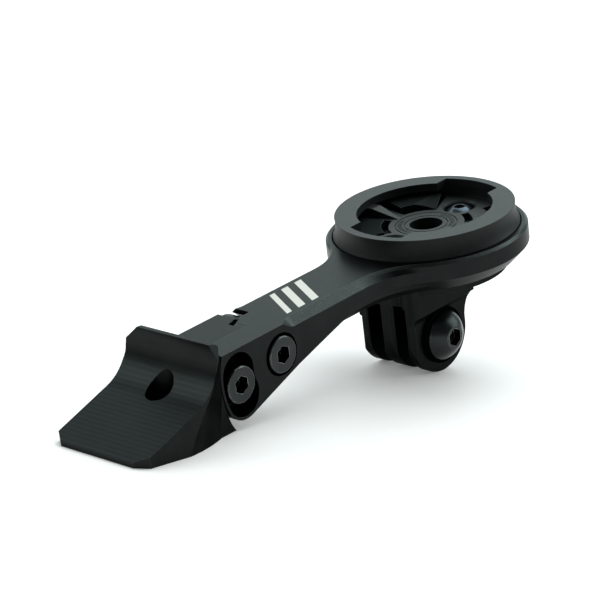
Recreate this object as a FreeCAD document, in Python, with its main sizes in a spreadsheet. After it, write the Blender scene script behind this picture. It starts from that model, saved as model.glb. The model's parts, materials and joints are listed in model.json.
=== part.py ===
import FreeCAD, Part
import math
import os
import Sketcher

# Out-front tilting mount for a handlebar computer: bracket, tilt hinge, arm with ring,
# quarter-turn insert and action-camera adapter.
#
# Arm frame, used for every outline: origin on the insert's axis at the top plane of the
# arm, +X to the rider's right when facing the bar, +Y towards the insert end, +Z up from
# the arm. Every sub-part is then laid back by the same angle, so that the bracket's flat
# underside and the camera prongs stand on z = 0.

DIMENSIONS = {
    # resting attitude
    "tilt": 10.9,
    "shift_y": 33.13,
    "shift_z": 26.64,
    # tilt hinge
    "pivot_y": -49.46,
    "pivot_z": -5.35,
    "lock_y": -60.5,
    "lock_z": -6.72,
    "hub_radius": 5.85,
    "hub_seat_radius": 5.95,
    "eye_radius": 4.75,
    "eye_clearance_radius": 5.1,
    "cheek_end_radius": 15.45,
    "seat_radius": 15.75,
    "cheek_inner_x": 1.35,
    "tongue_right_x": 1.3,
    "hub_left_x": -2.45,
    "eye_right_x": -2.6,
    "slot_mid_radius": 11.12,
    "slot_half_width": 3.85,
    "slot_up_y": -60.54,
    "slot_up_z": -4.46,
    "slot_down_y": -59.88,
    "slot_down_z": -9.23,
    "slot_neck_half_width": 2.2,
    "head_seat_x": 3.4,
    "counterbore_radius": 4.0,
    "screw_clearance_radius": 2.05,
    # bracket
    "bracket_half_width": 11.23,
    "lip_front_y": -69.1,
    "lip_top_z": 4.7,
    "lip_back_y": -67.6,
    "lip_back_z": 4.3,
    "saddle_radius": 8.5,
    "saddle_low_y": -75.15,
    "saddle_low_z": -4.87,
    "face_front_y": -89.27,
    "face_front_z": -8.94,
    "face_edge": 0.3,
    "base_front_y": -89.3,
    "base_front_z": -9.933,
    "base_rear_y": -61.85,
    "base_rear_z": -15.218,
    "seat_top_y": -64.27,
    "lip_corner_left_x": 3.3,
    "lip_corner_right_x": 1.75,
    "lip_corner_z": 2.7,
    "foot_corner_x": 2.4,
    "foot_corner_y": 1.9,
    "bolt_hole_y": -72.96,
    "bolt_hole_radius": 2.65,
    "bolt_head_room_radius": 4.75,
    "bolt_head_room_z": -9.0,
    "neck_half_width": 6.9,
    "tongue_root_step": 0.3,
    "waist_lead": 0.4,
    "waist_top_z": 5.5,
    "waist_top_y": -67.1,
    "waist_top_radius": 5.9,
    "waist_middle_z": -3.0,
    "waist_middle_y": -71.6,
    "waist_middle_radius": 20.0,
    "waist_low_z": -13.5,
    "waist_low_y": -82.0,
    "waist_low_radius": 38.0,
    "waist_low_neck_x": 7.49,
    "waist_low_neck_y": -67.15,
    "waist_low_rear_x": 5.1,
    "waist_neck_y": -64.2,
    "waist_end_y": -59.0,
    # tongue
    "tongue_half_width": 7.0,
    "tongue_end_y": -49.8,
    "tongue_end_round": 0.6,
    # arm
    "arm_half_width": 7.0,
    "arm_thickness": 6.2,
    "arm_chamfer": 1.45,
    "ring_top_chamfer": 0.5,
    "ring_low_chamfer": 2.6,
    "ring_radius": 19.35,
    "flare_start_y": -26.0,
    "plate_start_y": -45.2,
    "under_knee_y": -45.25,
    "under_knee_z": -8.8,
    "under_end_y": -30.84,
    "cheek_foot_y": -58.43,
    "cheek_foot_z": -13.33,
    "cheek_turn_y": -63.94,
    "cheek_turn_z": -10.73,
    "cheek_foot_radius": 4.35,
    "cheek_top_y": -63.954,
    "recess_radius": 18.15,
    "recess_depth": 3.0,
    "lip_nose_y": -46.9,
    "nose_trim_depth": 3.0,
    "run_out_x": 9.5,
    "run_out_radius": 2.5,
    # relief slot on top of the hinge
    "relief_front_left_x": -2.1,
    "relief_front_left_y": -52.9,
    "relief_front_right_x": -0.58,
    "relief_front_right_y": -53.08,
    "relief_rear_right_x": -1.78,
    "relief_rear_right_y": -50.35,
    "relief_rear_left_x": -2.67,
    "relief_rear_left_y": -49.99,
    "relief_depth": 3.0,
    # quarter-turn insert
    "insert_top_z": 4.0,
    "insert_top_radius": 17.25,
    "insert_skirt_radius": 17.9,
    "insert_skirt_z": 0.15,
    "insert_crown_radius": 6.0,
    "ledge_radius": 13.0,
    "ledge_under_z": 2.4,
    "undercut_radius": 15.8,
    "notch_radius": 15.6,
    "notch_half_width": 6.3,
    "insert_floor_z": 0.7,
    "hub_hole_radius": 3.19,
    "hub_line_radius": 5.9,
    "hub_line_inner_radius": 4.15,
    "hub_line_width": 0.24,
    "hub_line_depth": 0.2,
    "floor_slot_inner_radius": 7.35,
    "floor_slot_outer_radius": 8.95,
    "floor_slot_start": 30.0,
    "floor_slot_span": 35.0,
    "window_inner_radius": 12.2,
    "window_outer_radius": 14.0,
    "window_start": 58.0,
    "window_span": 9.0,
    "gusset_wall_x": -15.2,
    "gusset_knee_x": -11.6,
    "gusset_foot_x": -6.3,
    "gusset_low_y": -1.95,
    "gusset_high_y": 0.38,
    "gusset_foot_low_y": -0.6,
    "gusset_foot_high_y": 0.06,
    "insert_screw_y": 10.1,
    "insert_screw_seat_z": -0.95,
    "screw_seat_play": 0.15,
    "screw_seat_bevel": 0.4,
    "detent_inner_radius": 8.6,
    "detent_outer_radius": 14.2,
    "detent_slot_radius": 7.2,
    "detent_far_top_z": 1.75,
    "detent_near_top_z": 1.0,
    "detent_floor_z": -1.0,
    "detent_under_play": 0.1,
    "detent_start": 117.0,
    "detent_span": 46.0,
    "detent_ramp_x": -7.0,
    "detent_ramp_fall": 3.2,
    "detent_play": 0.6,
    "detent_side_play": 3.0,
    # camera adapter
    "flange_radius": 15.0,
    "flange_z": -8.0,
    "gap_play": 0.05,
    "fork_half_width": 7.8,
    "fork_corner_radius": 2.0,
    "prong_half_width": 6.5,
    "nut_prong_width": 6.85,
    "prong_corner": 0.8,
    "prong_front_y": -14.15,
    "prong_radius": 7.33,
    "prong_rear_y": 1.06,
    "camera_bolt_y": -6.27,
    "camera_bolt_z": -18.46,
    "fork_rear_y": 2.9,
    "fork_rear_z": -13.3,
    "fork_waist_z": -17.3,
    "fork_step_z": -12.5,
    "fork_cove_z": -14.1,
    "fork_cove_radius": 1.9,
    "fork_rear_radius": 6.0,
    "middle_prong_half": 1.6,
    "middle_prong_bevel": 0.6,
    "outer_prong_inner": 4.75,
    "gap_root_z": -10.8,
    "gap_groove_depth": 0.9,
    "spot_face_play": 0.1,
    "thread_overrun": 0.6,
    "camera_hole_radius": 2.6,
    # fasteners
    "thread_play": 0.03,
    "m4_radius": 2.0,
    "m4_head_radius": 3.4,
    "m4_head_height": 4.0,
    "m4_hex_across": 3.0,
    "pivot_screw_length": 10.0,
    "lock_screw_length": 8.0,
    "m5_radius": 2.5,
    "m5_head_radius": 4.75,
    "m5_head_height": 2.75,
    "m5_hex_across": 3.2,
    "m5_flat_radius": 2.2,
    "camera_bolt_length": 14.05,
    "washer_radius": 5.5,
    "washer_thickness": 0.7,
    "nut_across": 8.0,
    "nut_height": 1.5,
    "nut_play": 0.06,
    "m3_radius": 1.5,
    "m3_clearance": 0.1,
    "m3_head_radius": 2.85,
    "m3_flat_radius": 1.37,
    "m3_head_height": 1.65,
    "m3_hex_across": 2.0,
    "insert_screw_length": 6.5,
    "screw_tip": 0.4,
    "cap_head_edge": 0.15,
    "button_rim": 0.45,
    "m4_socket_depth": 2.2,
    "m5_socket_depth": 1.6,
    "m3_socket_depth": 1.0,
}

doc = FreeCAD.newDocument("OutFrontMount")
Vec = FreeCAD.Vector

sheet = doc.addObject("Spreadsheet::Sheet", "Spec")
for row, (alias, size) in enumerate(DIMENSIONS.items(), start=1):
    sheet.set("A%d" % row, alias)
    sheet.set("B%d" % row, str(size))
    sheet.setAlias("B%d" % row, alias)
doc.recompute()


class Dim:
    """A length that carries both its number and the sheet expression it comes from."""

    def __init__(self, text, value):
        self.text = text
        self.value = value

    def __add__(self, other):
        return combine(self, other, "+", lambda a, b: a + b)

    def __radd__(self, other):
        return combine(other, self, "+", lambda a, b: a + b)

    def __sub__(self, other):
        return combine(self, other, "-", lambda a, b: a - b)

    def __rsub__(self, other):
        return combine(other, self, "-", lambda a, b: a - b)

    def __mul__(self, other):
        return combine(self, other, "*", lambda a, b: a * b)

    def __rmul__(self, other):
        return combine(other, self, "*", lambda a, b: a * b)

    def __truediv__(self, other):
        return combine(self, other, "/", lambda a, b: a / b)

    def __neg__(self):
        return combine(0.0, self, "-", lambda a, b: a - b)


def as_dim(size):
    """A plain number becomes a Dim; a Dim stays as it is."""
    return size if isinstance(size, Dim) else Dim(repr(float(size)), float(size))


def combine(left, right, sign, operate):
    """The Dim of two sizes joined by one arithmetic sign."""
    left = as_dim(left)
    right = as_dim(right)
    return Dim("(%s %s %s)" % (left.text, sign, right.text), operate(left.value, right.value))


def spec(alias):
    """The driving dimension of that alias."""
    return Dim("Spec." + alias, DIMENSIONS[alias])


def root(size):
    """Square root of a Dim."""
    return Dim("sqrt(%s)" % size.text, math.sqrt(size.value))


def bind(item, path, size):
    """Set one property of an object to a sheet expression."""
    item.setExpression(path, as_dim(size).text)


def bind_place(item, x, y, z):
    """Bind the three offsets of an object's Placement."""
    bind(item, "Placement.Base.x", x)
    bind(item, "Placement.Base.y", y)
    bind(item, "Placement.Base.z", z)


TILT_COS = Dim("cos(Spec.tilt * 1 deg)", math.cos(math.radians(DIMENSIONS["tilt"])))
TILT_SIN = Dim("sin(Spec.tilt * 1 deg)", math.sin(math.radians(DIMENSIONS["tilt"])))
PIVOT_Y = spec("pivot_y")
PIVOT_Z = spec("pivot_z")
INSERT_SCREWS = (("rear", spec("insert_screw_y")), ("front", -spec("insert_screw_y")))
OVERRUN = 1.0  # how far a cutter runs past the face it opens
REACH = 120.0  # past the whole object, for outlines that are open on one side
sub_parts = []


def finish_part(item, label, at=(0.0, 0.0, 0.0)):
    """Name a finished sub-part and stand it in the resting frame, moved to the point at."""
    x, y, z = [as_dim(size) for size in at]
    item.Label = label
    item.Placement = FreeCAD.Placement(Vec(), FreeCAD.Rotation(Vec(1, 0, 0), DIMENSIONS["tilt"]))
    bind(item, "Placement.Rotation.Angle", spec("tilt"))
    bind_place(
        item,
        x,
        spec("shift_y") + y * TILT_COS - z * TILT_SIN,
        spec("shift_z") + y * TILT_SIN + z * TILT_COS,
    )
    sub_parts.append(item)
    return item


# ---------------------------------------------------------------- drawing helpers

PLANES = {
    "XY": FreeCAD.Rotation(),
    "YZ": FreeCAD.Rotation(Vec(1, 1, 1), 120),
    "XZ": FreeCAD.Rotation(Vec(1, 0, 0), 90),
}


def draw_outline(sketch, corners):
    """Fill a sketch with a closed outline.

    corners holds (u, v) or (u, v, radius): the radius is that of the arc that runs from
    the corner to the next one, positive where the arc turns left of that chord.
    """
    count = len(corners)
    points = [(as_dim(corner[0]), as_dim(corner[1])) for corner in corners]
    for index, corner in enumerate(corners):
        here = points[index]
        there = points[(index + 1) % count]
        start = Vec(here[0].value, here[1].value, 0)
        end = Vec(there[0].value, there[1].value, 0)
        if len(corner) == 3:
            radius = as_dim(corner[2])
            chord = end - start
            half = chord.Length / 2.0
            span = max(abs(radius.value), half)
            rise = span - math.sqrt(span * span - half * half)
            normal = Vec(-chord.y, chord.x, 0).normalize()
            middle = (start + end) * 0.5 + normal * math.copysign(rise, radius.value)
            edge = sketch.addGeometry(Part.Arc(start, middle, end), False)
            first = 1 if sketch.getPoint(edge, 1).distanceToPoint(start) < 1e-6 else 2
            rule = sketch.addConstraint(Sketcher.Constraint("Radius", edge, span))
            sketch.setExpression("Constraints[%d]" % rule, "abs(%s)" % radius.text)
        else:
            edge = sketch.addGeometry(Part.LineSegment(start, end), False)
            first = 1
        for position, place in ((first, here), (3 - first, there)):
            for kind, offset in (("DistanceX", place[0]), ("DistanceY", place[1])):
                rule = sketch.addConstraint(
                    Sketcher.Constraint(kind, -1, 1, edge, position, offset.value))
                sketch.setExpression("Constraints[%d]" % rule, offset.text)
    return sketch


def outline(name, plane, corners, level=0.0):
    """A sketch with a closed outline on a plane of the arm frame, level along its normal."""
    sketch = doc.addObject("Sketcher::SketchObject", name)
    sketch.Placement = FreeCAD.Placement(Vec(), PLANES[plane])
    normal = {"XY": "z", "YZ": "x", "XZ": "y"}[plane]
    bind(sketch, "Placement.Base." + normal, level)
    return draw_outline(sketch, corners)


def extrude(name, sketch, low, high):
    """A solid from a sketch, from low to high along the sketch's normal."""
    solid = doc.addObject("Part::Extrusion", name)
    solid.Base = sketch
    solid.DirMode = "Normal"
    solid.Solid = True
    bind(solid, "LengthFwd", high)
    bind(solid, "LengthRev", -as_dim(low))
    return solid


def cylinder(name, radius, start, length, axis="X", x=0.0, y=0.0, z=0.0, angle=None):
    """A cylinder (or a sector of one) along X, Y or Z, from start over length."""
    solid = doc.addObject("Part::Cylinder", name)
    turns = {"X": (Vec(0, 1, 0), 90), "Y": (Vec(1, 0, 0), -90), "Z": (Vec(0, 0, 1), 0)}
    solid.Placement = FreeCAD.Placement(Vec(), FreeCAD.Rotation(*turns[axis]))
    bind(solid, "Radius", radius)
    bind(solid, "Height", length)
    if angle is not None:
        bind(solid, "Angle", angle)
    offsets = {"X": (start, y, z), "Y": (x, start, z), "Z": (x, y, start)}
    bind_place(solid, *offsets[axis])
    return solid


def box(name, low, size):
    """A box from its lowest corner and its size."""
    solid = doc.addObject("Part::Box", name)
    for side, length in zip(("Length", "Width", "Height"), size):
        bind(solid, side, length)
    bind_place(solid, *low)
    return solid


def fuse(name, *shapes):
    """The union of several solids."""
    union = doc.addObject("Part::MultiFuse", name)
    union.Shapes = list(shapes)
    union.Refine = True
    return union


def common(name, *shapes):
    """What several solids share."""
    overlap = doc.addObject("Part::MultiCommon", name)
    overlap.Shapes = list(shapes)
    overlap.Refine = True
    return overlap


def cut(name, base, *tools):
    """A solid with several others taken away."""
    result = doc.addObject("Part::Cut", name)
    result.Base = base
    result.Tool = tools[0] if len(tools) == 1 else fuse(name + "_tools", *tools)
    result.Refine = True
    return result


def loft(name, lower, upper):
    """A ruled solid between two sketches."""
    solid = doc.addObject("Part::Loft", name)
    solid.Sections = [lower, upper]
    solid.Solid = True
    solid.Ruled = True
    return solid


def ring_sector(name, inner, outer, start, height, from_angle, span):
    """Part of a flat ring about the insert's axis, from_angle and span in degrees."""
    whole = cylinder(name + "_outer", outer, start, height, "Z", angle=span)
    hole = cylinder(name + "_inner", inner, start - OVERRUN, height + 2.0 * OVERRUN, "Z")
    whole.Placement = FreeCAD.Placement(Vec(), FreeCAD.Rotation(Vec(0, 0, 1), 1))
    bind(whole, "Placement.Rotation.Angle", from_angle)
    return cut(name, whole, hole)


def cone(name, low_radius, high_radius, start, height, x=0.0, y=0.0):
    """A cone along Z, from start over height."""
    solid = doc.addObject("Part::Cone", name)
    bind(solid, "Radius1", low_radius)
    bind(solid, "Radius2", high_radius)
    bind(solid, "Height", height)
    bind_place(solid, x, y, start)
    return solid


def relief_slot(name):
    """The narrow diagonal slot milled across the joint on top of the hinge."""
    corners = [
        (spec("relief_%s_x" % corner), spec("relief_%s_y" % corner))
        for corner in ("front_left", "front_right", "rear_right", "rear_left")
    ]
    return extrude(name, outline(name + "_plan", "XY", corners), -spec("relief_depth"), OVERRUN)


# ---------------------------------------------------------------- shared outlines

UNDER_SLOPE = (spec("under_knee_z") - spec("cheek_foot_z")) / (
    spec("under_knee_y") - spec("cheek_foot_y"))


def under_line(y):
    """Height of the sloping underside of the hinge at a place along the arm."""
    return spec("under_knee_z") + (y - spec("under_knee_y")) * UNDER_SLOPE


def about_pivot(radius, z):
    """Where the arc of that radius about the pivot, on its bracket side, passes height z."""
    drop = as_dim(z) - PIVOT_Z
    return PIVOT_Y - root(radius * radius - drop * drop)


# ---------------------------------------------------------------- bar bracket

def bracket_block():
    """Lip, concave saddle and flat face, full width at the front, waisted to the neck."""
    half = spec("bracket_half_width")
    lip_z = spec("lip_top_z")
    edge = spec("face_edge")
    face_slope = ((spec("saddle_low_z") - spec("face_front_z"))
                  / (spec("saddle_low_y") - spec("face_front_y")))
    side = outline("bracket_side", "YZ", [
        (spec("lip_front_y"), lip_z, spec("saddle_radius")),
        (spec("saddle_low_y"), spec("saddle_low_z")),
        (spec("face_front_y") + edge, spec("face_front_z") + edge * face_slope),
        (spec("face_front_y"), spec("face_front_z") - edge),
        (spec("base_front_y"), spec("base_front_z")),
        (spec("base_rear_y"), spec("base_rear_z"), spec("seat_radius")),
        (spec("seat_top_y"), 0.0),
        (spec("lip_back_y"), spec("lip_back_z")),
    ])
    front = outline("bracket_front", "XZ", [
        (-half, -REACH),
        (half, -REACH),
        (half, lip_z - spec("lip_corner_z")),
        (half - spec("lip_corner_right_x"), lip_z),
        (spec("lip_corner_left_x") - half, lip_z),
        (-half, lip_z - spec("lip_corner_z")),
    ])
    front_y = spec("base_front_y")
    corner_x = half - spec("foot_corner_x")
    corner_y = front_y + spec("foot_corner_y")
    plan = outline("bracket_plan", "XY", [
        (-half, 0.0),
        (-half, corner_y),
        (-corner_x, front_y),
        (corner_x, front_y),
        (half, corner_y),
        (half, 0.0),
    ])
    whole = common(
        "bracket_block",
        extrude("bracket_side_solid", side, -half, half),
        extrude("bracket_front_solid", front, 0.0, REACH),
        extrude("bracket_plan_solid", plan, -REACH, REACH),
    )
    cutters = []
    for name, sign in (("right", 1.0), ("left", -1.0)):
        cutters.extend(waist_cutters(name, sign))
    return cut("bracket_waisted", whole, *cutters)


def waist_cutters(name, sign):
    """What is milled off one flank: concave on top, gently convex at the base."""
    outer = (spec("bracket_half_width") + OVERRUN) * sign
    start_x = (spec("bracket_half_width") + spec("waist_lead")) * sign
    neck = spec("neck_half_width") * sign
    end_y = spec("waist_end_y")
    top = outline("waist_top_" + name, "XY", [
        (start_x, spec("waist_top_y"), spec("waist_top_radius") * sign),
        (neck, spec("waist_neck_y")),
        (neck, end_y),
        (outer, end_y),
    ], level=spec("waist_top_z"))
    middle = outline("waist_middle_" + name, "XY", [
        (start_x, spec("waist_middle_y"), spec("waist_middle_radius") * sign),
        (neck, spec("waist_neck_y")),
        (neck, end_y),
        (outer, end_y),
    ], level=spec("waist_middle_z"))
    low = outline("waist_low_" + name, "XY", [
        (start_x, spec("waist_low_y"), spec("waist_low_radius") * -sign),
        (spec("waist_low_neck_x") * sign, spec("waist_low_neck_y")),
        (spec("waist_low_rear_x") * sign, end_y),
        (outer, end_y),
    ], level=spec("waist_low_z"))
    return [
        loft("waist_upper_" + name, middle, top),
        loft("waist_lower_" + name, low, middle),
        extrude("waist_foot_" + name, low, -REACH, 0.0),
    ]


def hinge_tongue():
    """The tongue: a thick layer hollowed round the hub, and a thin one that carries the eye."""
    left = -spec("tongue_half_width")
    layer_x = spec("eye_right_x")
    root_radius = spec("seat_radius") + spec("tongue_root_step")
    foot_y = spec("base_rear_y")
    foot_z = under_line(foot_y)
    seat_chord = root(
        spec("hub_seat_radius") * spec("hub_seat_radius") - PIVOT_Z * PIVOT_Z)
    start = [
        (about_pivot(root_radius, 0.0), 0.0, root_radius * -1.0),
        (about_pivot(root_radius, foot_z), foot_z),
    ]
    thick = outline("tongue_thick", "YZ", start + [
        (PIVOT_Y, under_line(PIVOT_Y)),
        (PIVOT_Y - seat_chord + OVERRUN, 0.0),
    ])
    end_round = spec("tongue_end_round")
    thin = outline("tongue_thin", "YZ", start + [
        (PIVOT_Y, under_line(PIVOT_Y)),
        (spec("tongue_end_y"), -end_round),
        (spec("tongue_end_y") - end_round, 0.0),
    ])
    hub_seat = cylinder(
        "hub_seat", spec("hub_seat_radius"), layer_x,
        spec("tongue_right_x") - layer_x + OVERRUN, y=PIVOT_Y, z=PIVOT_Z)
    thick_layer = cut(
        "tongue_thick_layer",
        extrude("tongue_thick_solid", thick, layer_x, spec("tongue_right_x")), hub_seat)
    eye = common(
        "tongue_eye",
        cylinder("eye_disc", spec("eye_radius"), left, layer_x - left, y=PIVOT_Y, z=PIVOT_Z),
        above_underside("eye_trim", left, layer_x),
    )
    thin_layer = extrude("tongue_thin_solid", thin, left, layer_x)
    return [thick_layer, thin_layer, eye]


def above_underside(name, low_x, high_x):
    """A slab round the pivot that ends at the sloping underside and at the top plane."""
    near = PIVOT_Y - spec("seat_radius")
    far = PIVOT_Y + spec("seat_radius")
    side = outline(name + "_side", "YZ", [
        (near, 0.0),
        (near, under_line(near)),
        (far, under_line(far)),
        (far, 0.0),
    ])
    return extrude(name, side, low_x, high_x)


def make_bracket():
    """Machined bracket with its bolt hole, the two hinge threads and the relief slot."""
    body = fuse("bracket_raw", bracket_block(), *hinge_tongue())
    hole_y = spec("bolt_hole_y")
    hole = cylinder("bolt_hole", spec("bolt_hole_radius"), -REACH, 2.0 * REACH, "Z", y=hole_y)
    head_room = cylinder(
        "bolt_head_room", spec("bolt_head_room_radius"), -REACH,
        spec("bolt_head_room_z") + REACH, "Z", y=hole_y)
    thread = spec("m4_radius") + spec("thread_play")
    thread_start = -spec("tongue_half_width") - OVERRUN
    thread_length = spec("pivot_screw_length")
    threads = [
        cylinder("pivot_thread", thread, thread_start, thread_length, y=PIVOT_Y, z=PIVOT_Z),
        cylinder("lock_thread", thread, thread_start, thread_length,
                 y=spec("lock_y"), z=spec("lock_z")),
    ]
    bracket = cut("bracket", body, hole, head_room, *threads, relief_slot("bracket_relief"))
    return finish_part(bracket, "bar_bracket")


# ---------------------------------------------------------------- arm

def arm_outline(name, half, ring, level):
    """Plan of the arm and its ring at one height, with flares tangent to both."""
    start_y = spec("plate_start_y")
    bend_y = spec("flare_start_y")
    flare = (half * half + bend_y * bend_y - ring * ring) / (2.0 * (ring - half))
    centre_x = half + flare
    reach = root(centre_x * centre_x + bend_y * bend_y)
    touch_x = centre_x * ring / reach
    touch_y = bend_y * ring / reach
    return outline(name, "XY", [
        (-half, start_y),
        (half, start_y),
        (half, bend_y, flare),
        (touch_x, touch_y, -ring),
        (0.0, ring, -ring),
        (-touch_x, touch_y, flare),
        (-half, bend_y),
    ], level=level)


def make_arm():
    """Flat arm: slotted cheek and hub at the hinge, chamfered plate, recessed ring."""
    half = spec("arm_half_width")
    ring = spec("ring_radius")
    bevel = spec("arm_chamfer")
    edge = spec("ring_top_chamfer")
    low = spec("ring_low_chamfer")
    under = -spec("arm_thickness")

    levels = [
        (0.0, half - bevel, ring - edge),
        (-edge, half - bevel + edge, ring),
        (-bevel, half, ring),
        (under + low, half, ring),
        (under + bevel, half, ring - low + bevel),
        (under, half - bevel, ring - low),
    ]
    sections = [
        arm_outline("arm_plan_%d" % number, as_dim(width), as_dim(size), level)
        for number, (level, width, size) in enumerate(levels)
    ]
    slices = [
        loft("arm_slice_%d" % number, sections[number + 1], sections[number])
        for number in range(len(sections) - 1)
    ]

    body = fuse("arm_raw", hinge_block(), *slices)

    # Milled run-outs where the chamfer of the plate ends against the hinge block.
    run_outs = [
        cone("run_out_" + name, spec("run_out_radius"), spec("run_out_radius") + bevel * 2.0,
             -bevel, bevel * 2.0, x=spec("run_out_x") * sign, y=spec("plate_start_y"))
        for name, sign in (("right", 1.0), ("left", -1.0))
    ]
    eye_room = cylinder(
        "eye_room", spec("eye_clearance_radius"), -half - OVERRUN,
        half + OVERRUN + spec("hub_left_x"), y=PIVOT_Y, z=PIVOT_Z)
    pocket = slot_cutter(
        "lock_pocket", spec("slot_half_width"), spec("head_seat_x"), half + OVERRUN)
    neck = slot_cutter(
        "lock_slot", spec("slot_neck_half_width"), spec("cheek_inner_x") - OVERRUN,
        spec("head_seat_x") + OVERRUN)
    pivot_bore = cylinder(
        "pivot_bore", spec("screw_clearance_radius"), -half - OVERRUN, 2.0 * (half + OVERRUN),
        y=PIVOT_Y, z=PIVOT_Z)
    pivot_mouth = cylinder(
        "pivot_mouth", spec("counterbore_radius"), spec("head_seat_x"), half,
        y=PIVOT_Y, z=PIVOT_Z)
    recess = cylinder(
        "ring_recess", spec("recess_radius"), -spec("recess_depth"),
        spec("recess_depth") + OVERRUN, "Z")
    screw_holes = [
        cylinder("ring_hole_" + name, spec("m3_radius") + spec("m3_clearance"),
                 under - OVERRUN, spec("arm_thickness") + OVERRUN, "Z", y=place)
        for name, place in INSERT_SCREWS
    ]
    arm = cut(
        "arm_solid", body, eye_room, *run_outs, pocket, neck, pivot_bore, pivot_mouth, recess,
        *screw_holes, relief_slot("arm_relief"))
    return finish_part(arm, "arm")


def hinge_block():
    """Cheek and hub of the hinge; the near end is an arc about the pivot."""
    half = spec("arm_half_width")
    start_y = spec("plate_start_y")
    blend_z = spec("arm_chamfer") - spec("arm_thickness")
    side = outline("arm_side", "YZ", [
        (start_y, 0.0),
        (spec("cheek_top_y"), 0.0, spec("cheek_end_radius") * -1.0),
        (spec("cheek_turn_y"), spec("cheek_turn_z"), spec("cheek_foot_radius") * -1.0),
        (spec("cheek_foot_y"), spec("cheek_foot_z")),
        (spec("under_knee_y"), spec("under_knee_z")),
        (spec("under_end_y"), blend_z),
        (start_y, blend_z),
    ])
    far_side = -half - OVERRUN
    yoke_room = box(
        "yoke_room", (far_side, -REACH, -REACH),
        (spec("cheek_inner_x") - far_side, PIVOT_Y + REACH, 2.0 * REACH))
    nose_trim = box(
        "nose_trim", (far_side, PIVOT_Y - OVERRUN, -spec("nose_trim_depth")),
        (spec("hub_left_x") - far_side, spec("lip_nose_y") - PIVOT_Y + OVERRUN, REACH))
    hub = common(
        "arm_hub",
        cylinder("hub_disc", spec("hub_radius"), spec("hub_left_x"),
                 spec("cheek_inner_x") - spec("hub_left_x"), y=PIVOT_Y, z=PIVOT_Z),
        above_underside("hub_trim", spec("hub_left_x"), spec("cheek_inner_x")),
    )
    yoke = cut("arm_yoke", extrude("arm_block", side, -half, half), yoke_room, nose_trim)
    return fuse("arm_hinge", yoke, hub)


def slot_cutter(name, half_width, start, end):
    """A curved slot about the pivot between the two ends of the lock screw's travel."""
    ends = []
    for label in ("up", "down"):
        ends.append((spec("slot_%s_y" % label), spec("slot_%s_z" % label)))
    middle = spec("slot_mid_radius")
    corners = []
    for (y, z), outward in ((ends[0], 1.0), (ends[1], 1.0)):
        corners.append((
            PIVOT_Y + (y - PIVOT_Y) * (middle + half_width * outward) / middle,
            PIVOT_Z + (z - PIVOT_Z) * (middle + half_width * outward) / middle,
        ))
    for y, z in (ends[1], ends[0]):
        corners.append((
            PIVOT_Y + (y - PIVOT_Y) * (middle - half_width) / middle,
            PIVOT_Z + (z - PIVOT_Z) * (middle - half_width) / middle,
        ))
    radii = [(middle + half_width) * -1.0, half_width * -1.0, middle - half_width,
             half_width * -1.0]
    outline_corners = [corner + (size,) for corner, size in zip(corners, radii)]
    return extrude(name, outline(name + "_side", "YZ", outline_corners), start, end)


# ---------------------------------------------------------------- quarter-turn insert

def make_insert():
    """Moulded insert: floor, raised ring with a bayonet ledge, two notches."""
    floor_z = spec("insert_floor_z")
    base_z = -spec("recess_depth")
    top_z = spec("insert_top_z")
    skirt = spec("insert_skirt_radius")
    outer = outline("insert_section", "XZ", [
        (spec("hub_hole_radius"), base_z),
        (skirt, base_z),
        (skirt, spec("insert_skirt_z"), spec("insert_crown_radius")),
        (spec("insert_top_radius"), top_z),
        (spec("ledge_radius"), top_z),
        (spec("ledge_radius"), spec("ledge_under_z")),
        (spec("undercut_radius"), spec("ledge_under_z")),
        (spec("undercut_radius"), floor_z),
        (spec("hub_hole_radius"), floor_z),
    ])
    ring = doc.addObject("Part::Revolution", "insert_turned")
    ring.Source = outer
    ring.Axis = Vec(0, 0, 1)
    ring.Angle = 360.0
    ring.Solid = True

    notch_half = spec("notch_half_width")
    notch = common(
        "insert_notch",
        cylinder("notch_disc", spec("notch_radius"), floor_z, top_z, "Z"),
        box("notch_band", (-notch_half, -skirt, floor_z), (notch_half * 2.0, skirt * 2.0, top_z)),
    )
    hollow = cut(
        "insert_hollow", ring, notch, *detent_rooms(), *floor_openings(), *hub_lines(),
        *screw_seats())
    return finish_part(fuse("insert_solid", hollow, gusset()), "quarter_turn_insert")


def mirrored_start(start, span):
    """Where a sector starts once it is mirrored to the other side of the arm's plane."""
    return 360.0 - start - span


def detent_rooms():
    """The two hollows in which the sprung tabs move."""
    start = spec("detent_start")
    span = spec("detent_span")
    play = spec("detent_side_play")
    floor_z = spec("detent_floor_z")
    return [
        ring_sector(
            "detent_room_" + name, spec("detent_slot_radius"),
            spec("detent_outer_radius") + spec("detent_play"), floor_z,
            spec("ledge_under_z") - floor_z, angle - play, span + 2.0 * play)
        for name, angle in (("far", start), ("near", mirrored_start(start, span)))
    ]


def floor_openings():
    """Curved slots and small windows through the floor, in mirrored pairs."""
    low = -spec("detent_play")
    height = spec("insert_floor_z") - low + OVERRUN
    openings = []
    for kind in ("floor_slot", "window"):
        start = spec(kind + "_start")
        span = spec(kind + "_span")
        for name, angle in (("far", start), ("near", mirrored_start(start, span))):
            openings.append(ring_sector(
                "%s_%s" % (kind, name), spec(kind + "_inner_radius"),
                spec(kind + "_outer_radius"), low, height, angle, span))
    return openings


def hub_lines():
    """Two fine grooves round the middle hole."""
    half_line = spec("hub_line_width") / 2.0
    start = spec("insert_floor_z") - spec("hub_line_depth")
    return [
        ring_sector(name, spec(name) - half_line, spec(name) + half_line, start,
                    as_dim(OVERRUN), as_dim(0.0), 360.0)
        for name in ("hub_line_radius", "hub_line_inner_radius")
    ]


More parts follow.
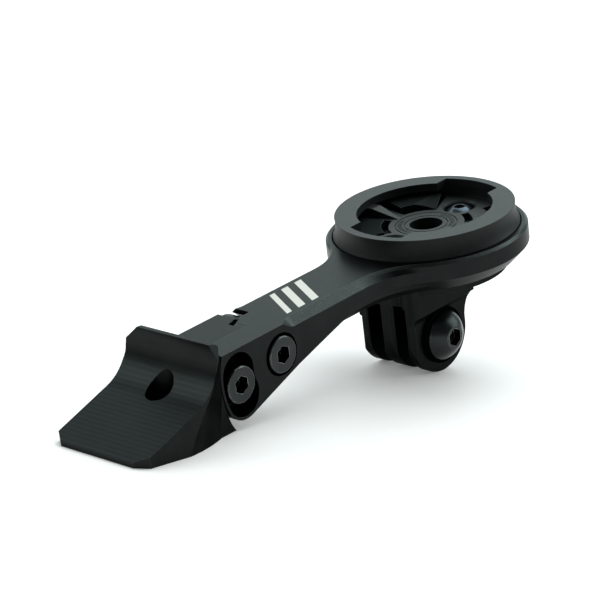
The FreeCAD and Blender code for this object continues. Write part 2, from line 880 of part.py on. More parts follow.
def screw_seats():
    """Clearance hole, flat-bottomed seat and bevelled mouth for each insert screw."""
    seat_z = spec("insert_screw_seat_z")
    seat_radius = spec("m3_head_radius") + spec("screw_seat_play")
    bevel = spec("screw_seat_bevel")
    mouth_z = spec("insert_floor_z") - bevel
    seats = []
    for name, place in INSERT_SCREWS:
        seats.append(cylinder(
            "screw_seat_" + name, seat_radius, seat_z, spec("recess_depth"), "Z", y=place))
        seats.append(cylinder(
            "screw_hole_" + name, spec("m3_radius") + spec("m3_clearance"),
            -spec("recess_depth") - OVERRUN, seat_z + spec("recess_depth") + 2.0 * OVERRUN,
            "Z", y=place))
        seats.append(cone(
            "screw_mouth_" + name, seat_radius, seat_radius + bevel * 2.0, mouth_z,
            bevel * 2.0, y=place))
    return seats


def gusset():
    """Wedge on the floor that rises from the hub to the ledge."""
    wall_x = spec("gusset_wall_x")
    knee_x = spec("gusset_knee_x")
    foot_x = spec("gusset_foot_x")
    low_z = spec("insert_floor_z") - spec("hub_line_depth")
    high_z = spec("ledge_under_z") + spec("gap_play")
    plan = outline("gusset_plan", "XY", [
        (wall_x, spec("gusset_low_y")),
        (knee_x, spec("gusset_low_y")),
        (foot_x, spec("gusset_foot_low_y")),
        (foot_x, spec("gusset_foot_high_y")),
        (knee_x, spec("gusset_high_y")),
        (wall_x, spec("gusset_high_y")),
    ])
    side = outline("gusset_side", "XZ", [
        (wall_x, low_z),
        (foot_x, low_z),
        (foot_x, spec("insert_floor_z")),
        (knee_x, high_z),
        (wall_x, high_z),
    ])
    return common(
        "gusset",
        extrude("gusset_plan_solid", plan, 0.0, spec("insert_top_z")),
        extrude("gusset_side_solid", side, -spec("undercut_radius"), spec("undercut_radius")),
    )


def detent_tab(name, start):
    """The body of one sprung tab, which gives way towards the insert's axis."""
    bottom = spec("detent_floor_z") + spec("detent_under_play")
    return ring_sector(
        "tab_" + name, spec("detent_inner_radius"), spec("detent_outer_radius"), bottom,
        spec("detent_%s_top_z" % name) - bottom, start, spec("detent_span"))


def make_detents():
    """The two sprung tabs; the far one is raised and ramped, the near one lies low."""
    start = spec("detent_start")
    top = spec("detent_far_top_z")
    ramp = outline("ramp_side", "XZ", [
        (spec("detent_ramp_x"), top),
        (0.0, top - spec("detent_ramp_fall")),
        (0.0, top + OVERRUN),
        (spec("detent_ramp_x"), top + OVERRUN),
    ])
    raised = cut(
        "tab_far_ramped", detent_tab("far", start),
        extrude("ramp", ramp, -spec("undercut_radius"), spec("undercut_radius")))
    finish_part(raised, "detent_tab_far")
    low = detent_tab("near", mirrored_start(start, spec("detent_span")))
    finish_part(low, "detent_tab_near")


# ---------------------------------------------------------------- camera adapter

def fork():
    """Stepped fork under the flange, before its gaps are sawn."""
    top_z = -spec("arm_thickness") - spec("gap_play")
    bolt_y = spec("camera_bolt_y")
    bolt_z = spec("camera_bolt_z")
    front_y = spec("prong_front_y")
    wide = spec("fork_half_width")
    narrow = spec("prong_half_width")
    nut_side = spec("nut_prong_width")
    cove = spec("fork_cove_radius")
    corner = spec("fork_corner_radius")
    tip = spec("prong_radius")
    # The front arc meets the ground line square below the bolt, where the tip arc starts.
    low_y = bolt_y - tip * TILT_SIN
    low_z = bolt_z - tip * TILT_COS
    run = low_y - front_y
    drop = bolt_z - low_z
    front_radius = (run * run + drop * drop) / ((drop * TILT_COS - run * TILT_SIN) * 2.0)
    side = outline("fork_side", "YZ", [
        (front_y, top_z),
        (front_y, bolt_z, front_radius * -1.0),
        (low_y, low_z, tip * -1.0),
        (spec("prong_rear_y"), bolt_z),
        (spec("prong_rear_y"), spec("fork_waist_z"), spec("fork_rear_radius")),
        (spec("fork_rear_y"), spec("fork_rear_z")),
        (spec("fork_rear_y"), top_z),
    ])
    front = outline("fork_front", "XZ", [
        (-wide, 0.0),
        (-wide, spec("fork_step_z"), cove),
        (-nut_side, spec("fork_cove_z")),
        (-nut_side, -REACH),
        (narrow, -REACH),
        (narrow, spec("fork_cove_z"), cove),
        (wide, spec("fork_step_z")),
        (wide, 0.0),
    ])
    plan = outline("fork_plan", "XY", [
        (-wide, REACH),
        (-wide, front_y + corner, corner * -1.0),
        (corner - wide, front_y),
        (wide - corner, front_y, corner * -1.0),
        (wide, front_y + corner),
        (wide, REACH),
    ])
    return common(
        "fork_solid",
        extrude("fork_side_solid", side, -wide, wide),
        extrude("fork_front_solid", front, -REACH, REACH),
        extrude("fork_plan_solid", plan, -REACH, 0.0),
    )


def front_bevel(name, edge_x, facing, size, high):
    """Cutter for the bevel on one upright front edge of a prong; facing is its open side."""
    front_y = spec("prong_front_y")
    past_x = edge_x + OVERRUN * facing
    plan = outline(name + "_plan", "XY", [
        (edge_x - size * facing, front_y - OVERRUN),
        (edge_x - size * facing, front_y),
        (past_x, front_y + size + OVERRUN),
        (past_x, front_y - OVERRUN),
    ])
    return extrude(name, plan, -REACH, high)


def gap_cutters():
    """The two sawn gaps between the prongs, each with a shallow groove above its root."""
    inner = spec("middle_prong_half")
    outer = spec("outer_prong_inner")
    width = outer - inner
    root_z = spec("gap_root_z")
    front_y = spec("prong_front_y")
    bevel = spec("middle_prong_bevel")
    cutters = []
    for name, side, start, face in (
            ("right", 1.0, inner, spec("prong_half_width")),
            ("left", -1.0, -outer, spec("nut_prong_width"))):
        cutters.append(box(
            "gap_" + name, (start, -REACH, -REACH), (width, 2.0 * REACH, root_z + REACH)))
        cutters.append(cylinder(
            "gap_groove_" + name, width / 2.0, root_z - OVERRUN,
            spec("flange_z") - root_z + OVERRUN, "Z", x=start + width / 2.0,
            y=front_y - width / 2.0 + spec("gap_groove_depth")))
        cutters.append(front_bevel("middle_bevel_" + name, inner * side, side, bevel, root_z))
        cutters.append(front_bevel(
            "inner_bevel_" + name, outer * side, -side, bevel / 2.0, root_z))
        cutters.append(front_bevel(
            "outer_bevel_" + name, face * side, side, spec("prong_corner"),
            spec("fork_cove_z")))
    return cutters


def hexagon_bar(name, across, length):
    """Hexagonal bar from the origin along +X."""
    bar = doc.addObject("Part::Prism", name)
    bar.Polygon = 6
    bar.Placement = FreeCAD.Placement(Vec(), FreeCAD.Rotation(Vec(0, 1, 0), 90))
    bind(bar, "Circumradius", across / math.sqrt(3.0))
    bind(bar, "Height", length)
    return bar


def make_adapter():
    """Three-prong adapter: flange under the ring, fork, spot faces, pin hole and nut seat."""
    top_z = -spec("arm_thickness") - spec("gap_play")
    flange_z = spec("flange_z")
    flange = cylinder("flange", spec("flange_radius"), flange_z, top_z - flange_z, "Z")
    bolt_line = {"y": spec("camera_bolt_y"), "z": spec("camera_bolt_z")}
    prong = spec("prong_half_width")
    face_radius = spec("washer_radius") + spec("spot_face_play")
    nut_prong = spec("nut_prong_width")
    face_depth = spec("fork_half_width") - prong + OVERRUN
    pin_hole = cylinder("camera_hole", spec("camera_hole_radius"), -REACH, 2.0 * REACH,
                        **bolt_line)
    spot_faces = [
        cylinder("spot_face_right", face_radius, prong, face_depth, **bolt_line),
        cylinder("spot_face_left", face_radius, -nut_prong - face_depth, face_depth,
                 **bolt_line),
    ]
    nut_seat = hexagon_bar(
        "nut_seat", spec("nut_across") + spec("nut_play") * 2.0, spec("nut_height") + OVERRUN)
    bind_place(nut_seat, -nut_prong - OVERRUN, **bolt_line)
    thread_end = flange_z - spec("thread_overrun")
    threads = [
        cylinder("flange_thread_" + name, spec("m3_radius") + spec("thread_play"), thread_end,
                 top_z - thread_end + OVERRUN, "Z", y=place)
        for name, place in INSERT_SCREWS
    ]
    adapter = cut("adapter_solid", fuse("adapter_raw", fork(), flange), *gap_cutters(),
                  pin_hole, nut_seat, *spot_faces, *threads)
    return finish_part(adapter, "camera_adapter")


# ---------------------------------------------------------------- fasteners

def origin_plane(body, role):
    """The origin plane of a body with that role."""
    return [item for item in body.Origin.OriginFeatures if item.Role == role][0]


def turned_screw(name, section, hex_across, hex_depth, face):
    """A screw turned about X from a half section, with a hexagon socket in its head.

    section lists corners in the body's XY plane; face is where the head's front lies.
    """
    body = doc.addObject("PartDesign::Body", name)
    sketch = body.newObject("Sketcher::SketchObject", name + "_section")
    sketch.AttachmentSupport = [(origin_plane(body, "XY_Plane"), "")]
    sketch.MapMode = "FlatFace"
    draw_outline(sketch, section)
    turned = body.newObject("PartDesign::Revolution", name + "_turned")
    turned.Profile = sketch
    turned.ReferenceAxis = (sketch, ["H_Axis"])
    turned.Angle = 360.0
    doc.recompute()
    socket = body.newObject("Sketcher::SketchObject", name + "_hexagon")
    socket.AttachmentSupport = [(origin_plane(body, "YZ_Plane"), "")]
    socket.MapMode = "FlatFace"
    bind(socket, "AttachmentOffset.Base.z", face)
    hexagon = []
    for corner in range(6):
        turn = math.radians(60.0 * corner + 30.0)
        hexagon.append((
            hex_across * (math.cos(turn) / math.sqrt(3.0)),
            hex_across * (math.sin(turn) / math.sqrt(3.0)),
        ))
    draw_outline(socket, hexagon)
    pocket = body.newObject("PartDesign::Pocket", name + "_socket")
    pocket.Profile = socket
    bind(pocket, "Length", hex_depth)
    doc.recompute()
    solid_before = turned.Shape.Volume
    if pocket.Shape.Volume > solid_before - LEAST_SOCKET:
        pocket.Reversed = True
        doc.recompute()
    if pocket.Shape.Volume > solid_before - LEAST_SOCKET:
        raise ValueError("the socket of %s cuts nothing" % name)
    return body


def cap_screw_section(radius, head_radius, head_height, length):
    """Half section of a socket cap screw, head's underside at x = 0, head towards +X."""
    edge = spec("cap_head_edge")
    tip = spec("screw_tip")
    return [
        (-length, 0.0),
        (-length, radius - tip),
        (tip - length, radius),
        (0.0, radius),
        (0.0, head_radius),
        (head_height - edge, head_radius),
        (head_height, head_radius - edge),
        (head_height, 0.0),
    ]


# Radius of a button head's dome as a share of the head's radius.
DOME_SHARE = 1.15
# A hexagon socket takes at least this volume out of its head, in cubic millimetres.
LEAST_SOCKET = 0.5


def button_screw_section(radius, head_radius, flat_radius, head_height, length):
    """Half section of a button-head screw, head's underside at x = 0, head towards +X."""
    tip = spec("screw_tip")
    return [
        (-length, 0.0),
        (-length, radius - tip),
        (tip - length, radius),
        (0.0, radius),
        (0.0, head_radius),
        (spec("button_rim"), head_radius, head_radius * DOME_SHARE),
        (head_height, flat_radius),
        (head_height, 0.0),
    ]


def make_hinge_screws():
    """The pivot screw and the lock screw of the tilt hinge."""
    places = (
        ("pivot_screw", spec("pivot_screw_length"), PIVOT_Y, PIVOT_Z),
        ("lock_screw", spec("lock_screw_length"), spec("lock_y"), spec("lock_z")),
    )
    for name, length, y, z in places:
        section = cap_screw_section(
            spec("m4_radius"), spec("m4_head_radius"), spec("m4_head_height"), length)
        body = turned_screw(
            name + "_body", section, spec("m4_hex_across"),
            spec("m4_socket_depth"), spec("m4_head_height"))
        finish_part(body, name, (spec("head_seat_x"), y, z))


def make_camera_fasteners():
    """Button-head bolt, washer and pressed-in nut across the camera prongs."""
    y = spec("camera_bolt_y")
    z = spec("camera_bolt_z")
    washer_x = spec("prong_half_width")
    bolt_x = washer_x + spec("washer_thickness")
    section = button_screw_section(
        spec("m5_radius"), spec("m5_head_radius"), spec("m5_flat_radius"),
        spec("m5_head_height"), spec("camera_bolt_length"))
    bolt = turned_screw(
        "camera_bolt_body", section, spec("m5_hex_across"), spec("m5_socket_depth"),
        spec("m5_head_height"))
    finish_part(bolt, "camera_bolt", (bolt_x, y, z))

    washer = cut(
        "camera_washer_solid",
        cylinder("washer_disc", spec("washer_radius"), 0.0, spec("washer_thickness")),
        cylinder("washer_hole", spec("m5_radius") + spec("gap_play"), -OVERRUN,
                 spec("washer_thickness") + 2.0 * OVERRUN),
    )
    finish_part(washer, "camera_washer", (washer_x, y, z))

    nut = cut(
        "camera_nut_solid",
        hexagon_bar("nut_bar", spec("nut_across"), spec("nut_height")),
        cylinder("nut_thread", spec("m5_radius") + spec("thread_play"), -OVERRUN,
                 spec("nut_height") + 2.0 * OVERRUN),
    )
    finish_part(nut, "camera_nut", (-spec("nut_prong_width"), y, z))


def make_insert_screws():
    """The two screws that hold the insert, the ring and the adapter together."""
    screws = []
    for name, place in INSERT_SCREWS:
        section = button_screw_section(
            spec("m3_radius"), spec("m3_head_radius"), spec("m3_flat_radius"),
            spec("m3_head_height"),
            spec("insert_screw_length"))
        body = turned_screw(
            "insert_screw_" + name, section, spec("m3_hex_across"), spec("m3_socket_depth"),
            spec("m3_head_height"))
        body.Placement = FreeCAD.Placement(Vec(), FreeCAD.Rotation(Vec(0, 1, 0), -90))
        bind_place(body, 0.0, place, spec("insert_screw_seat_z"))
        screws.append(body)
    pair = doc.addObject("Part::Compound", "insert_screw_pair")
    pair.Links = screws
    return finish_part(pair, "insert_screws")


make_bracket()
make_arm()
make_hinge_screws()
make_insert()
make_detents()
make_insert_screws()
make_adapter()
make_camera_fasteners()
doc.recompute()

for item in doc.Objects:
    if "Invalid" in item.State or "Error" in item.State:
        raise RuntimeError("%s failed: %s" % (item.Name, item.State))
for item in sub_parts:
    if item.Shape.isNull() or not item.Shape.isValid():
        raise RuntimeError("%s has no valid shape" % item.Label)

os.makedirs("parts", exist_ok=True)
for item in sub_parts:
    item.Shape.exportStep("parts/%s.step" % item.Label)
    size = item.Shape.BoundBox
    print("%-20s %d solid(s) %9.1f mm3  x %.2f..%.2f  y %.2f..%.2f  z %.2f..%.2f" % (
        item.Label, len(item.Shape.Solids), item.Shape.Volume, size.XMin, size.XMax,
        size.YMin, size.YMax, size.ZMin, size.ZMax))
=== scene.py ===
import json
import math

import bmesh
import bpy
from mathutils import Matrix, Vector

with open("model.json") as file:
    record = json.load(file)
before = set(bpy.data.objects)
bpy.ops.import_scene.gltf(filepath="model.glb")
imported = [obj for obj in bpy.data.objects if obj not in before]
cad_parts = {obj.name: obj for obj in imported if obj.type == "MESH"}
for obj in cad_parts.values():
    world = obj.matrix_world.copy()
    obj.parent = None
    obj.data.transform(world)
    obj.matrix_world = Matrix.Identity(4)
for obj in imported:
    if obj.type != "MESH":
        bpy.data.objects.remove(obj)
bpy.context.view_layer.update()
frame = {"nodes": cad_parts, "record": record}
nodes = frame["nodes"]
mounts = {mount["name"]: mount for mount in frame["record"]["mounts"]}
MM = 0.001

# ---------------------------------------------------------------- the arm's own frame

# The paints are laid out in the arm's frame, in millimetres: its origin is on the insert's axis,
# level with the arm's top, and the arm runs along y. The socket's mount stands INSERT_TOP above it.
INSERT_TOP = 4.0
socket_top = Vector(mounts["quarter_turn_socket"]["pos_m"])
arm_up = Vector(mounts["quarter_turn_socket"]["axis"]).normalized()
arm_side = Vector((1.0, 0.0, 0.0))
arm_turn = Matrix((arm_side, arm_up.cross(arm_side), arm_up)).transposed()
ARM_FRAME = Matrix.Translation(socket_top - arm_up * INSERT_TOP * MM) @ arm_turn.to_4x4()

# ---------------------------------------------------------------- camera

AZIMUTH = math.radians(42.411)
ELEVATION = math.radians(14.070)
ROLL = math.radians(0.781)
DISTANCE = 0.49462
AIM = Vector((-0.01527, 0.0145, 0.01285))
LENS = 156.0
SENSOR_WIDTH = 36.0
NEAREST_SEEN = 0.01


def make_camera():
    """The camera at the photograph's angle."""
    data = bpy.data.cameras.new("camera")
    data.lens = LENS
    data.sensor_width = SENSOR_WIDTH
    data.clip_start = NEAREST_SEEN
    camera = bpy.data.objects.new("camera", data)
    bpy.context.scene.collection.objects.link(camera)
    ahead = Vector((
        -math.sin(AZIMUTH) * math.cos(ELEVATION),
        math.cos(AZIMUTH) * math.cos(ELEVATION),
        -math.sin(ELEVATION),
    ))
    level = Vector((math.cos(AZIMUTH), math.sin(AZIMUTH), 0.0))
    upward = level.cross(ahead)
    right = level * math.cos(ROLL) + upward * math.sin(ROLL)
    up = right.cross(ahead)
    turn = Matrix((right, up, -ahead)).transposed()
    camera.matrix_world = Matrix.Translation(AIM - ahead * DISTANCE) @ turn.to_4x4()
    bpy.context.scene.camera = camera


make_camera()

# ---------------------------------------------------------------- shader helpers

BEVEL_SAMPLES = 6
WEAR_AND_GLINT_RADIUS = 0.12
# The cosine between the plain normal and the rounded one, where an edge takes the full edge colour
# (wear and painted edge highlight) and where the surface counts as flat.
FULL_WEAR_AND_GLINT_COSINE = 0.88
FLAT_COSINE = 0.995


class Shading:
    """One principled material and the nodes that feed it."""

    def __init__(self, name, colour, roughness, metallic=0.0, specular=0.5):
        self.material = bpy.data.materials.new(name)
        self.material.use_nodes = True
        self.tree = self.material.node_tree
        self.shader = self.tree.nodes["Principled BSDF"]
        self.colour = colour
        self.roughness = roughness
        self.spot = None
        self.feed("Base Color", colour)
        self.feed("Roughness", roughness)
        self.feed("Metallic", metallic)
        self.feed("Specular IOR Level", specular)

    def give(self, socket, value):
        """Set a socket to a node's output, a colour or a number."""
        if isinstance(value, bpy.types.NodeSocket):
            self.tree.links.new(value, socket)
        elif isinstance(value, tuple):
            socket.default_value = (*value, 1.0)
        else:
            socket.default_value = value

    def feed(self, name, value):
        """Set one of the principled shader's own inputs."""
        self.give(self.shader.inputs[name], value)

    def node(self, kind, **settings):
        """A new node with some of its settings."""
        node = self.tree.nodes.new(kind)
        for key, value in settings.items():
            setattr(node, key, value)
        return node

    def arm_spot(self):
        """Coordinates in the arm's frame, in millimetres."""
        if self.spot is None:
            coordinates = self.node("ShaderNodeTexCoord")
            mapping = self.node("ShaderNodeMapping", vector_type="POINT")
            turned = ARM_FRAME.inverted()
            mapping.inputs["Rotation"].default_value = turned.to_euler()
            mapping.inputs["Location"].default_value = turned.to_translation() / MM
            mapping.inputs["Scale"].default_value = (1.0 / MM, 1.0 / MM, 1.0 / MM)
            self.give(mapping.inputs["Vector"], coordinates.outputs["Object"])
            self.spot = mapping.outputs["Vector"]
        return self.spot

    def split(self, vector):
        """The three parts of a vector as separate outputs."""
        parts = self.node("ShaderNodeSeparateXYZ")
        self.give(parts.inputs["Vector"], vector)
        return parts.outputs["X"], parts.outputs["Y"], parts.outputs["Z"]

    def facing(self):
        """The three parts of the surface's normal, in the row frame."""
        return self.split(self.node("ShaderNodeNewGeometry").outputs["Normal"])

    def math(self, operation, *operands):
        """A math node; each operand is an output or a number."""
        node = self.node("ShaderNodeMath", operation=operation)
        for socket, operand in zip(node.inputs, operands):
            self.give(socket, operand)
        return node.outputs["Value"]

    def product(self, first, *others):
        """Several factors or masks multiplied together."""
        for other in others:
            first = self.math("MULTIPLY", first, other)
        return first

    def gap(self, value, centre):
        """How far a value lies from a centre."""
        return self.math("ABSOLUTE", self.math("SUBTRACT", value, centre))

    def near(self, value, centre, reach):
        """1 where a value lies less than a reach from a centre, 0 elsewhere."""
        return self.math("LESS_THAN", self.gap(value, centre), reach)

    def noise(self, scale, stretch=(1.0, 1.0, 1.0), detail=3.0, roughness=0.55):
        """Noise in arm-frame millimetres; stretch multiplies each axis."""
        mapping = self.node("ShaderNodeMapping")
        mapping.inputs["Scale"].default_value = stretch
        self.give(mapping.inputs["Vector"], self.arm_spot())
        noise = self.node("ShaderNodeTexNoise")
        self.give(noise.inputs["Scale"], scale)
        self.give(noise.inputs["Detail"], detail)
        self.give(noise.inputs["Roughness"], roughness)
        self.give(noise.inputs["Vector"], mapping.outputs["Vector"])
        return noise.outputs["Fac"]

    def ramp(self, factor, low, high, from_value, to_value):
        """Map a factor from low..high onto from_value..to_value, clamped."""
        node = self.node("ShaderNodeMapRange", clamp=True)
        self.give(node.inputs["From Min"], low)
        self.give(node.inputs["From Max"], high)
        self.give(node.inputs["To Min"], from_value)
        self.give(node.inputs["To Max"], to_value)
        self.give(node.inputs["Value"], factor)
        return node.outputs["Result"]

    def mix_colour(self, factor, first, second):
        """Blend two colours by a factor."""
        node = self.node("ShaderNodeMix", data_type="RGBA")
        first_colour, second_colour, blend = node.inputs[6], node.inputs[7], node.outputs[2]
        self.give(node.inputs["Factor"], factor)
        self.give(first_colour, first)
        self.give(second_colour, second)
        return blend

    def blotches(self, cloud, dark, pale, low=0.3, high=0.7):
        """Two close colours that a noise blends into each other."""
        return self.mix_colour(self.ramp(cloud, low, high, 0.0, 1.0), dark, pale)

    def soft_normal(self, radius):
        """The normal as if sharp edges were rounded by a radius in millimetres."""
        bevel = self.node("ShaderNodeBevel", samples=BEVEL_SAMPLES)
        self.give(bevel.inputs["Radius"], radius * MM)
        return bevel.outputs["Normal"]

    def wear_and_glint_edges(self, tint, wear_and_glint, share):
        """Blend a lighter colour into the sharp edges: partly wear, partly painted edge highlight.
        """
        plain = self.node("ShaderNodeNewGeometry")
        compare = self.node("ShaderNodeVectorMath", operation="DOT_PRODUCT")
        self.give(compare.inputs[0], self.soft_normal(WEAR_AND_GLINT_RADIUS))
        self.give(compare.inputs[1], plain.outputs["Normal"])
        edge = self.ramp(compare.outputs["Value"], FULL_WEAR_AND_GLINT_COSINE, FLAT_COSINE, 1.0, 0.0)
        return self.mix_colour(self.product(edge, share), tint, wear_and_glint)

    def bump(self, radius, *layers):
        """Stack bumps, each (height output, distance in millimetres), on a soft-edged normal."""
        normal = self.soft_normal(radius)
        for height, distance in layers:
            bump = self.node("ShaderNodeBump")
            self.give(bump.inputs["Distance"], distance * MM)
            self.give(bump.inputs["Height"], height)
            self.give(bump.inputs["Normal"], normal)
            normal = bump.outputs["Normal"]
        self.feed("Normal", normal)


def grey(share):
    """A neutral colour."""
    return share, share, share


def finish_metal(shade, grain_stretch, wear_and_glint, wear_and_glint_share):
    """Set a metal part's roughness, and return its colour and its grain."""
    cloud = shade.noise(0.22, detail=2.0)
    grain = shade.noise(9.0, stretch=grain_stretch, detail=4.0, roughness=0.7)
    tint = shade.blotches(cloud,
                          tuple(part * 0.9 for part in shade.colour),
                          tuple(part * 1.12 for part in shade.colour))
    # Wear and painted edge highlight: the sharp edges take a lighter colour, in patches.
    patchy = shade.ramp(shade.noise(0.8, detail=4.0), 0.38, 0.62, 0.25, 1.0)
    tint = shade.wear_and_glint_edges(tint, wear_and_glint, shade.product(patchy, wear_and_glint_share))
    slow = shade.ramp(cloud, 0.3, 0.7, shade.roughness - 0.02, shade.roughness + 0.02)
    fast = shade.ramp(grain, 0.3, 0.7, -0.05, 0.05)
    shade.feed("Roughness", shade.math("ADD", slow, fast))
    return tint, grain


# ---------------------------------------------------------------- paints

# An anodised film is a dark metal here. A specular tint below 1 holds back its reflection at a
# flat angle, so that the tops stay black.
# Edge colours for the metal parts: partly wear, partly painted edge highlight.
ANODISED_WEAR_AND_GLINT = (0.16, 0.17, 0.168)
STEEL_WEAR_AND_GLINT = (0.62, 0.64, 0.63)

STRIPE_SLANT = 0.55
STRIPE_PITCH = 3.6
STRIPE_OFFSET = 2.8
STRIPE_SHARE = 0.5
MARK_AT = -37.4
MARK_HALF_LENGTH = 4.5
MARK_HALF_WIDTH = 4.4
JUST_UNDER_TOP = -0.15


def stripes(shade):
    """Mask of the etched mark on top of the arm: three plain slanted bars."""
    x, y, z = shade.split(shade.arm_spot())
    slant = shade.math("ADD", shade.product(x, STRIPE_SLANT), y)
    turns = shade.math("DIVIDE", shade.math("ADD", slant, STRIPE_OFFSET), STRIPE_PITCH)
    bars = shade.math("LESS_THAN", shade.math("FRACT", turns), STRIPE_SHARE)
    across = shade.near(x, 0.0, MARK_HALF_WIDTH)
    along = shade.near(slant, MARK_AT, MARK_HALF_LENGTH)
    top = shade.math("GREATER_THAN", z, JUST_UNDER_TOP)
    return shade.product(bars, across, along, top)


CHAMFER_LEAN = 0.68
CHAMFER_SHEEN = (0.07, 0.076, 0.075)


def make_arm_paint():
    """Satin anodised arm, brushed along its length, with a painted sheen in patches on its
    chamfers, and the etched mark.
    """
    shade = Shading("anodised_arm", (0.0160, 0.0175, 0.0173), 0.34, 1.0)
    shade.feed("Specular Tint", grey(0.66))
    tint, grain = finish_metal(shade, (1.0, 0.06, 1.0), ANODISED_WEAR_AND_GLINT, 0.35)
    # Painted sheen: faces tilted like the chamfers take a lighter colour, in patches.
    lean = shade.facing()[2]
    chamfer = shade.ramp(shade.gap(lean, CHAMFER_LEAN), 0.1333, 0.2222, 1.0, 0.0)
    patchy = shade.ramp(shade.noise(6.0, detail=4.0), 0.35, 0.7, 0.1, 0.5)
    tint = shade.mix_colour(shade.product(chamfer, patchy), tint, CHAMFER_SHEEN)
    mask = stripes(shade)
    speckle = shade.ramp(shade.noise(7.0, detail=3.0), 0.25, 0.75, 0.8, 1.0)
    silver = shade.mix_colour(speckle, (0.44, 0.39, 0.36), (0.62, 0.55, 0.51))
    shade.feed("Base Color", shade.mix_colour(mask, tint, silver))
    shade.feed("Metallic", shade.math("SUBTRACT", 1.0, mask))
    shade.bump(0.1, (grain, 0.004))
    return shade.material


CUTTER_CLIMB = 0.6
CUTTER_RATE = 5.6
CUTTER_WOBBLE = 0.25
CUTTER_RIDGE = (0.026, 0.029, 0.0286)
SADDLE_LOW = -3.9
SADDLE_HIGH = 0.1
LIP_BOTTOM = 4.15
LIP_BACK = -67.3


def make_bracket_paint():
    """Anodised bracket with fine cutter lines, which fade as the saddle climbs to its lip, and
    painted shade on its flanks and lip top.
    """
    shade = Shading("anodised_bracket", (0.0175, 0.0192, 0.0188), 0.36, 1.0)
    tint, grain = finish_metal(shade, (0.05, 1.0, 1.0), ANODISED_WEAR_AND_GLINT, 0.3)
    _, y, z = shade.split(shade.arm_spot())
    flank = shade.ramp(shade.math("ABSOLUTE", shade.facing()[0]), 0.3, 0.5, 0.0, 1.0)
    path = shade.math("ADD", y, shade.product(z, CUTTER_CLIMB))
    wobble = shade.product(shade.noise(0.5, detail=1.0), CUTTER_WOBBLE)
    wave = shade.math("SINE", shade.product(shade.math("ADD", path, wobble), CUTTER_RATE))
    depth = shade.ramp(z, SADDLE_LOW, SADDLE_HIGH, 1.0, 0.2)
    ridge = shade.product(shade.math("SUBTRACT", 1.0, flank), depth,
                          shade.ramp(wave, -1.0, 1.0, 0.0, 0.55))
    shade.feed("Base Color", shade.mix_colour(ridge, tint, CUTTER_RIDGE))
    # Painted shade: the flanks and the lip top get a weaker specular tint, so they show darker.
    lip = shade.product(shade.math("GREATER_THAN", z, LIP_BOTTOM),
                        shade.math("LESS_THAN", y, LIP_BACK))
    flank_and_lip_shade = shade.math("MAXIMUM", flank, lip)
    shade.feed("Specular Tint", shade.mix_colour(flank_and_lip_shade, grey(0.62), grey(0.42)))
    shade.bump(0.12, (grain, 0.005))
    return shade.material


def make_adapter_paint():
    """Dull anodised fork and flange."""
    shade = Shading("anodised_adapter", (0.0135, 0.0148, 0.0146), 0.42, 1.0)
    shade.feed("Specular Tint", grey(0.45))
    tint, grain = finish_metal(shade, (1.0, 1.0, 0.12), ANODISED_WEAR_AND_GLINT, 0.3)
    shade.feed("Base Color", tint)
    shade.bump(0.12, (grain, 0.005))
    return shade.material


def make_screw_paint(name, colour):
    """Coated steel, bright on its edges: partly wear, partly painted edge highlight."""
    shade = Shading(name, colour, 0.3, 1.0)
    tint, grain = finish_metal(shade, (0.3, 1.0, 1.0), STEEL_WEAR_AND_GLINT, 0.9)
    shade.feed("Base Color", tint)
    shade.bump(0.08, (grain, 0.006))
    return shade.material


TICKS_PER_TURN = 72
TICK_SHARE = 0.35
TICK_RADIUS = 5.02
TICK_HALF_LENGTH = 0.42
TICK_ARC_MIDDLE = 0.9
TICK_ARC_COSINE = 0.72
INSERT_FLOOR = 0.7
INSERT_FLOOR_SLACK = 0.1


def ticks(shade):
    """Mask of plain tick marks in two arcs between the grooves round the middle hole."""
    x, y, z = shade.split(shade.arm_spot())
    radius = shade.math("SQRT", shade.math("ADD", shade.product(x, x), shade.product(y, y)))
    angle = shade.math("ARCTAN2", y, x)
    turns = shade.product(angle, TICKS_PER_TURN / (2.0 * math.pi))
    teeth = shade.math("LESS_THAN", shade.math("FRACT", turns), TICK_SHARE)
    ring = shade.near(radius, TICK_RADIUS, TICK_HALF_LENGTH)
    swing = shade.math("COSINE", shade.math("SUBTRACT", angle, TICK_ARC_MIDDLE))
    arcs = shade.math("GREATER_THAN", shade.math("ABSOLUTE", swing), TICK_ARC_COSINE)
    level = shade.near(z, INSERT_FLOOR, INSERT_FLOOR_SLACK)
    return shade.product(teeth, ring, arcs, level)


def make_insert_paint():
    """Matte moulded nylon with a fine spark-eroded grain and sunk tick marks."""
    shade = Shading("moulded_black", (0.007, 0.0082, 0.0081), 0.5, specular=0.2)
    cloud = shade.noise(0.3, detail=2.0)
    pebbles = shade.noise(5.0, detail=3.0, roughness=0.6)
    tint = shade.blotches(cloud, (0.0055, 0.0066, 0.0065), (0.009, 0.0104, 0.0103))
    # Wear and painted edge highlight: slightly lighter sharp edges.
    tint = shade.wear_and_glint_edges(tint, (0.05, 0.055, 0.054), 0.3)
    mask = ticks(shade)
    shade.feed("Base Color", shade.mix_colour(mask, tint, grey(0.001)))
    shade.feed("Roughness", shade.ramp(pebbles, 0.3, 0.7, 0.44, 0.58))
    shade.feed("Specular IOR Level", shade.ramp(mask, 0.0, 1.0, 0.2, 0.0))
    sunk = shade.product(mask, -1.0)
    shade.bump(0.12, (pebbles, 0.012), (sunk, 0.05))
    return shade.material


